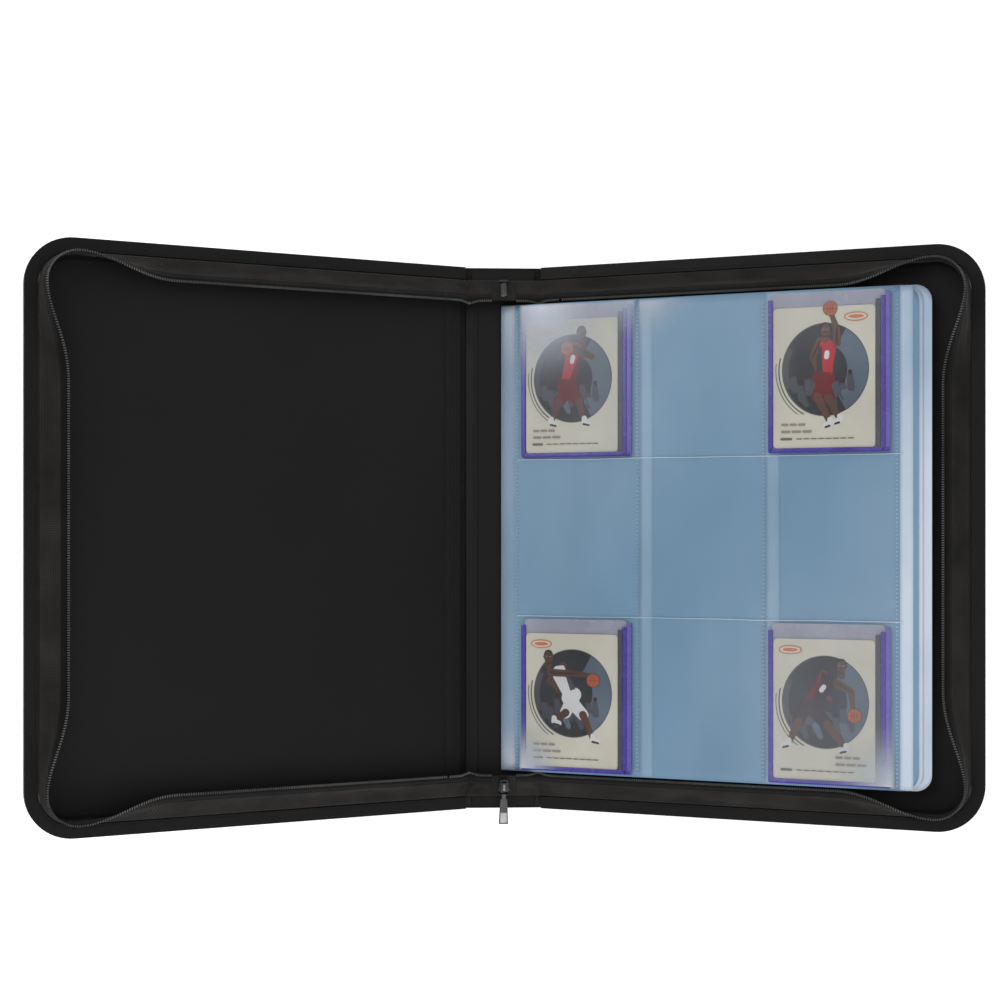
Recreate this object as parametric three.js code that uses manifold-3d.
// A zip-around trading card binder, lying open on its back cover.
// Millimetres, +Z up. The origin is the middle of the back cover's outer face, which lies at Z = 0.
// +X runs from the spine to the back cover's fore-edge and +Y runs to the head of the pages.
import * as THREE from 'three';
import { mergeVertices } from 'three/addons/utils/BufferGeometryUtils.js';
import Module from 'manifold-3d';

// Covers and spine
const COVER_W = 290;
const COVER_H = 367;
const CORNER_R = 30;
const SPINE_W = 52;
const OPEN_TILT = THREE.MathUtils.degToRad(22);
const AXIS_Z = 0.5;
const SKIN_T = 1.0;
const BOARD_T = 1.8;
const LINING_T = 0.6;
const GAP = 0.3;
const RIM_W = 8;
const SKIN_HINGE_GAP = 0.8;
const BOARD_HINGE_GAP = 5;
const INNER_Z = SKIN_T + GAP + BOARD_T + GAP + LINING_T;

// Zip gusset: a strip that leans inwards along the sides and stands up round the corners
const GUSSET_INSET = 9.2;
const GUSSET_T = 1.0;
const GUSSET_L = 14;
const TAPE_L = 4;
const COIL_L = 1.9;
const TAPE_T = 0.6;
const COIL_T = 1.5;
const GUSSET_BASE_Z = INNER_Z + 0.9;
const SIDE_LEAN = THREE.MathUtils.degToRad(37);
const CORNER_LEAN = THREE.MathUtils.degToRad(85);
const LEAN_FADE = 60;
const GUSSET_HINGE_GAP = 18;

// Page sheets
const PAGES = 10;
const PAGE_H = 314;
const PAGE_T = 0.45;
const PAGE_RIGHT = 247;
const PAGE_CORNER_R = 10;
const PAGE_PITCH = 2.1;
const BINDING_T = 1.5;
const BINDING_W = 21;
const TOP_PAGE_END_Z = 17.5;
const LAST_PAGE_END_Z = 7;
const BINDING_MARGIN = 12;
const FORE_MARGIN = 8;
const WELD = 2;
const FILM_T = 0.3;

// Toploaders and cards
const LOADER = { w: 76.2, h: 101.6, t: 2.0, edge: 3.0, foot: 2.5, cavity: 0.95 };
const CARD = { w: 63.5, h: 88.9, t: 0.35 };

// Zip slider and pull tab
const SLIDER = { w: 8, l: 10, t: 3.4, along: 13 };
const TAB = { w: 7, l: 23, t: 1.2, fall: THREE.MathUtils.degToRad(17) };

const COLOURS = {
  skin: 0x1c1c1e, board: 0x8a7f70, lining: 0x222224, rim: 0x202022, gusset: 0x3a3937,
  tape: 0x2b2b2c, coil: 0x6a6a68, metal: 0x3b3c40, sheet: 0x93abc4, film: 0xa8bdd2,
  loader: 0x4b3796, card: 0xbebcb0,
};

const wasm = await Module();
wasm.setup();

function material(colour, roughness = 0.6, metalness = 0) {
  return new THREE.MeshStandardMaterial({ color: colour, roughness, metalness });
}

function piece(name, geometry, look, x = 0, y = 0, z = 0) {
  const mesh = new THREE.Mesh(geometry, look);
  mesh.name = name;
  mesh.position.set(x, y, z);
  return mesh;
}

// A flat shape in XY, from z0 to z0 + thickness.
function slab(shape, z0, thickness) {
  const settings = { depth: thickness, bevelEnabled: false, curveSegments: 8 };
  return new THREE.ExtrudeGeometry(shape, settings).translate(0, 0, z0);
}

// A closed body through stations that each hold the same number of corners.
function loft(stations) {
  const corners = stations[0].length;
  const index = [];
  for (let i = 0; i < stations.length - 1; i += 1) {
    for (let j = 0; j < corners; j += 1) {
      const a = i * corners + j;
      const b = i * corners + (j + 1) % corners;
      index.push(a, b, b + corners, a, b + corners, a + corners);
    }
  }
  const last = (stations.length - 1) * corners;
  for (let j = 1; j < corners - 1; j += 1) {
    index.push(0, j + 1, j, last, last + j, last + j + 1);
  }
  const geometry = new THREE.BufferGeometry().setFromPoints(stations.flat());
  geometry.setIndex(index);
  geometry.computeVertexNormals();
  return geometry;
}

function toManifold(geometry) {
  geometry.deleteAttribute('normal');
  geometry.deleteAttribute('uv');
  const merged = mergeVertices(geometry, 1e-4);
  const mesh = new wasm.Mesh({
    numProp: 3,
    vertProperties: new Float32Array(merged.attributes.position.array),
    triVerts: new Uint32Array(merged.index.array),
  });
  return new wasm.Manifold(mesh);
}

function fromManifold(solid) {
  const mesh = solid.getMesh();
  const geometry = new THREE.BufferGeometry();
  geometry.setAttribute('position', new THREE.BufferAttribute(mesh.vertProperties, 3));
  geometry.setIndex(new THREE.BufferAttribute(mesh.triVerts, 1));
  geometry.computeVertexNormals();
  return geometry;
}

// The outline of a cover, inset from its edge: square at the hinge and round at the fore-edge.
function coverOutline(inset, hingeGap) {
  const half = COVER_H / 2 - inset;
  const edge = COVER_W - inset;
  const radius = CORNER_R - inset;
  const shape = new THREE.Shape();
  shape.moveTo(hingeGap, -half);
  shape.lineTo(edge - radius, -half);
  shape.absarc(edge - radius, -half + radius, radius, -Math.PI / 2, 0, false);
  shape.lineTo(edge, half - radius);
  shape.absarc(edge - radius, half - radius, radius, 0, Math.PI / 2, false);
  shape.lineTo(hingeGap, half);
  shape.closePath();
  return shape;
}

// The welt round three sides of a cover.
function rimOutline() {
  const outer = coverOutline(0, SKIN_HINGE_GAP).getPoints(8);
  const inner = coverOutline(RIM_W, SKIN_HINGE_GAP).getPoints(8);
  const open = (points) => points.filter((p, i) => i === 0 || !p.equals(points[i - 1]));
  const outside = open(outer).slice(0, -1);
  const inside = open(inner).slice(0, -1).reverse();
  return new THREE.Shape([...outside, ...inside]);
}

// Lean of the gusset at a distance from the nearest corner.
function leanAt(distance) {
  const t = THREE.MathUtils.smoothstep(distance, 0, LEAN_FADE);
  return THREE.MathUtils.lerp(CORNER_LEAN, SIDE_LEAN, t);
}

// Places along the gusset's foot, from the tail end of the hinge round to the head end.
function gussetPath() {
  const half = COVER_H / 2;
  const run = COVER_W - CORNER_R;
  const radius = CORNER_R - GUSSET_INSET;
  const steps = [0, 12, 24, 36, 48, 60];
  const places = [];
  const add = (x, y, inX, inY, lean) => places.push({ x, y, inX, inY, lean });
  add(GUSSET_HINGE_GAP, GUSSET_INSET - half, 0, 1, leanAt(run));
  steps.slice().reverse().forEach((d) => add(run - d, GUSSET_INSET - half, 0, 1, leanAt(d)));
  for (let i = 1; i <= 6; i += 1) {
    const a = -Math.PI / 2 + (i * Math.PI) / 12;
    const y = CORNER_R - half + radius * Math.sin(a);
    add(run + radius * Math.cos(a), y, -Math.cos(a), -Math.sin(a), CORNER_LEAN);
  }
  const side = half - CORNER_R;
  steps.slice(1).forEach((d) => add(COVER_W - GUSSET_INSET, d - side, -1, 0, leanAt(d)));
  const mirrored = places.map((p) => ({ ...p, y: -p.y, inY: -p.inY })).reverse();
  return [...places, ...mirrored];
}

// The four corners of a strip's section between two distances up the lean.
function stripSection(place, from, to, thickness) {
  const inwards = new THREE.Vector3(place.inX, place.inY, 0);
  const up = new THREE.Vector3(0, 0, 1);
  const along = inwards.clone().multiplyScalar(Math.cos(place.lean));
  along.addScaledVector(up, Math.sin(place.lean));
  const across = up.clone().multiplyScalar(Math.cos(place.lean));
  across.addScaledVector(inwards, -Math.sin(place.lean));
  const foot = new THREE.Vector3(place.x, place.y, GUSSET_BASE_Z);
  const corner = (u, v) => foot.clone().addScaledVector(along, u).addScaledVector(across, v);
  const t = thickness / 2;
  return [corner(from, -t), corner(to, -t), corner(to, t), corner(from, t)];
}

const TAPE_FROM = GUSSET_L + GAP;
const COIL_FROM = TAPE_FROM + TAPE_L + GAP;

function strip(places, from, length, thickness) {
  return loft(places.map((place) => stripSection(place, from, from + length, thickness)));
}

// One cover with its hinge line at x = 0, its outer face at z = 0 and its inside up.
function cover(side) {
  const group = new THREE.Group();
  const inside = RIM_W + GAP;
  const boardZ = SKIN_T + GAP;
  const liningZ = boardZ + BOARD_T + GAP;
  const places = gussetPath();
  const add = (name, geometry, look) => group.add(piece(`${side}_${name}`, geometry, look));
  add('outer_skin', slab(coverOutline(0, SKIN_HINGE_GAP), 0, SKIN_T), material(COLOURS.skin, 0.7));
  add('board', slab(coverOutline(inside, BOARD_HINGE_GAP), boardZ, BOARD_T), material(COLOURS.board, 0.9));
  add('lining', slab(coverOutline(inside, BOARD_HINGE_GAP), liningZ, LINING_T), material(COLOURS.lining, 0.55));
  add('rim', slab(rimOutline(), boardZ, INNER_Z - boardZ + 0.2), material(COLOURS.rim, 0.7));
  add('gusset', strip(places, 0, GUSSET_L, GUSSET_T), material(COLOURS.gusset, 0.85));
  add('zip_tape', strip(places, TAPE_FROM, TAPE_L, TAPE_T), material(COLOURS.tape, 0.85));
  add('zip_coil', strip(places, COIL_FROM, COIL_L, COIL_T), material(COLOURS.coil, 0.4));
  return group;
}

// A joint line across a panel: the returned frame turns about the line and keeps z = 0 at the outer face.
function turned(parent, x, angle) {
  const line = new THREE.Group();
  line.position.set(x, 0, AXIS_Z);
  line.rotation.y = angle;
  const frame = new THREE.Group();
  frame.position.z = -AXIS_Z;
  line.add(frame);
  parent.add(line);
  return frame;
}

function spinePanel(name, hingeGap, inset, z0, thickness, look) {
  const width = SPINE_W - 2 * hingeGap;
  const geometry = new THREE.BoxGeometry(width, COVER_H - 2 * inset, thickness);
  return piece(name, geometry, look, -SPINE_W / 2, 0, z0 + thickness / 2);
}

// The short gusset panel that stands across one end of the spine; end is -1 at the tail, +1 at the head.
function spineEndPlaces(end) {
  const y = end * (COVER_H / 2 - GUSSET_INSET);
  const xs = [-SPINE_W + GUSSET_HINGE_GAP, -GUSSET_HINGE_GAP];
  if (end > 0) xs.reverse();
  return xs.map((x) => ({ x, y, inX: 0, inY: -end, lean: SIDE_LEAN }));
}

// A block on the spine's end panel: centre measured up the lean and out from the panel's face.
function onEndPanel(name, size, up, out, end, look) {
  const frame = new THREE.Group();
  frame.position.set(-SPINE_W / 2, end * (COVER_H / 2 - GUSSET_INSET), GUSSET_BASE_Z);
  frame.rotation.set(end < 0 ? SIDE_LEAN : -SIDE_LEAN, 0, 0);
  frame.add(piece(name, new THREE.BoxGeometry(...size), look, 0, -end * up, out));
  return frame;
}

function spine(parent) {
  const boardZ = SKIN_T + GAP;
  const liningZ = boardZ + BOARD_T + GAP;
  const add = (...args) => parent.add(spinePanel(...args));
  add('spine_outer_skin', SKIN_HINGE_GAP, 0, 0, SKIN_T, material(COLOURS.skin, 0.7));
  add('spine_board', BOARD_HINGE_GAP, RIM_W, boardZ, BOARD_T, material(COLOURS.board, 0.9));
  add('spine_lining', BOARD_HINGE_GAP, 2, liningZ, LINING_T, material(COLOURS.lining, 0.55));
  const panel = material(COLOURS.gusset, 0.85);
  const length = GUSSET_L + TAPE_L;
  parent.add(piece('spine_end_gusset_tail', strip(spineEndPlaces(-1), 0, length, GUSSET_T), panel));
  parent.add(piece('spine_end_gusset_head', strip(spineEndPlaces(1), 0, length, GUSSET_T), panel));
  const face = GUSSET_T / 2 + GAP;
  const chain = { t: 1.2, l: 13 };
  const coil = material(COLOURS.coil, 0.4);
  const metal = material(COLOURS.metal, 0.35, 0.9);
  parent.add(onEndPanel('zip_chain_tail', [4, chain.l, chain.t], 10.5, face + chain.t / 2, -1, coil));
  parent.add(onEndPanel('zip_chain_head', [4, chain.l, chain.t], 10.5, face + chain.t / 2, 1, coil));
  parent.add(onEndPanel('zip_stop_tail', [5.5, 1.8, 1.8], 2.6, face + 0.9, -1, metal));
  parent.add(onEndPanel('zip_stop_head', [5.5, 1.8, 1.8], 2.6, face + 0.9, 1, metal));
}

// The slider rides over the joined chain at the tail, with the tab hinged on its outer end.
function sliderAndTab(parent) {
  const metal = material(COLOURS.metal, 0.35, 0.9);
  const chainTop = GUSSET_T / 2 + GAP + 1.2;
  const out = chainTop + GAP + SLIDER.t / 2;
  const size = [SLIDER.w, SLIDER.l, SLIDER.t];
  const frame = onEndPanel('zip_slider', size, SLIDER.along, out, -1, metal);
  parent.add(frame);
  const tabAxis = new THREE.Group();
  tabAxis.position.set(0, SLIDER.along - SLIDER.l / 2 - GAP - TAB.t / 2, out + SLIDER.t / 2 - TAB.t / 2);
  tabAxis.rotation.x = TAB.fall - SIDE_LEAN;
  tabAxis.add(piece('zip_pull_tab', new THREE.BoxGeometry(TAB.w, TAB.l, TAB.t), metal, 0, -TAB.l / 2, 0));
  frame.add(tabAxis);
}

// A point over the spine, in the back cover's frame: along from the back hinge, above the outer face.
function spinePoint(along, above) {
  const rise = above - AXIS_Z;
  return {
    x: -along * Math.cos(OPEN_TILT) + rise * Math.sin(OPEN_TILT),
    z: AXIS_Z + along * Math.sin(OPEN_TILT) + rise * Math.cos(OPEN_TILT),
  };
}

const BINDING_ALONG = SPINE_W / 2 + 2;
const BINDING_ABOVE = INNER_Z + GAP + BINDING_T / 2;
const ROOT_ABOVE = BINDING_ABOVE + BINDING_T / 2 + GAP + PAGE_T / 2 + 0.1;

function bindingStrip(parent) {
  const middle = spinePoint(BINDING_ALONG - BINDING_W / 2, BINDING_ABOVE);
  const geometry = new THREE.BoxGeometry(BINDING_W, PAGE_H, BINDING_T);
  const strip = piece('page_binding_strip', geometry, material(COLOURS.rim, 0.7), middle.x, 0, middle.z);
  strip.rotation.y = OPEN_TILT;
  parent.add(strip);
}

// Root, width and slope of one page sheet; page 0 is the top one and starts furthest left.
function pagePlace(page) {
  const root = spinePoint(BINDING_ALONG - 0.5 - page * PAGE_PITCH, ROOT_ABOVE);
  const endZ = THREE.MathUtils.lerp(TOP_PAGE_END_Z, LAST_PAGE_END_Z, page / (PAGES - 1));
  const end = PAGE_RIGHT + (page % 3) - 1;
  const run = end - root.x;
  return { root, width: run, slope: Math.atan2(endZ - root.z, run) };
}

function pageShape(width) {
  const half = PAGE_H / 2;
  const r = PAGE_CORNER_R;
  const shape = new THREE.Shape();
  shape.moveTo(0, -half);
  shape.lineTo(width - r, -half);
  shape.absarc(width - r, r - half, r, -Math.PI / 2, 0, false);
  shape.lineTo(width, half - r);
  shape.absarc(width - r, half - r, r, 0, Math.PI / 2, false);
  shape.lineTo(0, half);
  shape.closePath();
  return shape;
}

function pageFrame(parent, page) {
  const { root, slope } = pagePlace(page);
  const frame = new THREE.Group();
  frame.position.set(root.x, 0, root.z);
  frame.rotation.y = -slope;
  parent.add(frame);
  return frame;
}

function pageSheet(frame, page) {
  const name = `page_${String(page + 1).padStart(2, '0')}_sheet`;
  const geometry = slab(pageShape(pagePlace(page).width), -PAGE_T / 2, PAGE_T);
  frame.add(piece(name, geometry, material(COLOURS.sheet, 0.25)));
}

// A full pocket's film is a low tunnel, open at the head; an empty pocket's film lies flat.
function pocketFilm(width, height, full) {
  const z0 = PAGE_T / 2 + GAP;
  if (!full) return new THREE.BoxGeometry(width, height, FILM_T).translate(0, 0, z0 + FILM_T / 2);
  const wall = 0.8;
  const outer = width / 2 - 0.4;
  const roof = LOADER_Z + LOADER.t / 2 + GAP;
  const shape = new THREE.Shape();
  shape.moveTo(-outer, z0);
  shape.lineTo(wall - outer, z0);
  shape.lineTo(wall - outer, roof);
  shape.lineTo(outer - wall, roof);
  shape.lineTo(outer - wall, z0);
  shape.lineTo(outer, z0);
  shape.lineTo(outer, roof + FILM_T);
  shape.lineTo(-outer, roof + FILM_T);
  shape.closePath();
  return slab(shape, -height / 2, height).rotateX(Math.PI / 2);
}

const LOADER_Z = PAGE_T / 2 + 2 * GAP + FILM_T + LOADER.t / 2;

// A rigid sleeve, hollow and open at the head.
function toploader() {
  const body = new THREE.BoxGeometry(LOADER.w, LOADER.h, LOADER.t);
  const hollowW = LOADER.w - 2 * LOADER.edge;
  const hollow = new THREE.BoxGeometry(hollowW, LOADER.h, LOADER.cavity).translate(0, LOADER.foot, 0);
  return fromManifold(toManifold(body).subtract(toManifold(hollow)));
}

// The top page: nine pockets, with a loaded toploader in each corner pocket.
function topPage(frame) {
  const pitchX = (pagePlace(0).width - BINDING_MARGIN - FORE_MARGIN) / 3;
  const pitchY = PAGE_H / 3;
  let loaded = 0;
  for (let row = 0; row < 3; row += 1) {
    for (let column = 0; column < 3; column += 1) {
      const full = row !== 1 && column !== 1;
      const x = BINDING_MARGIN + (column + 0.5) * pitchX;
      const y = (1 - row) * pitchY;
      const film = pocketFilm(pitchX - WELD, pitchY - WELD, full);
      const pocket = row * 3 + column + 1;
      frame.add(piece(`page_01_pocket_${pocket}`, film, material(COLOURS.film, 0.15), x, y));
      if (full) {
        loaded += 1;
        const cardX = x - (LOADER.w - 2 * LOADER.edge - CARD.w) / 2 + GAP;
        const cardY = y + (CARD.h - LOADER.h) / 2 + LOADER.foot + GAP;
        const card = new THREE.BoxGeometry(CARD.w, CARD.h, CARD.t);
        frame.add(piece(`toploader_${loaded}`, toploader(), material(COLOURS.loader, 0.2), x, y, LOADER_Z));
        frame.add(piece(`card_${loaded}`, card, material(COLOURS.card, 0.5), cardX, cardY, LOADER_Z));
      }
    }
  }
}

function binder() {
  const whole = new THREE.Group();
  const back = cover('back');
  back.position.x = -COVER_W / 2;
  whole.add(back);
  bindingStrip(back);
  for (let page = 0; page < PAGES; page += 1) {
    const frame = pageFrame(back, page);
    pageSheet(frame, page);
    if (page === 0) topPage(frame);
  }
  const spineFrame = turned(back, 0, OPEN_TILT);
  spine(spineFrame);
  sliderAndTab(spineFrame);
  const front = cover('front');
  front.rotation.z = Math.PI;
  turned(spineFrame, -SPINE_W, OPEN_TILT).add(front);
  return whole;
}

export default binder();
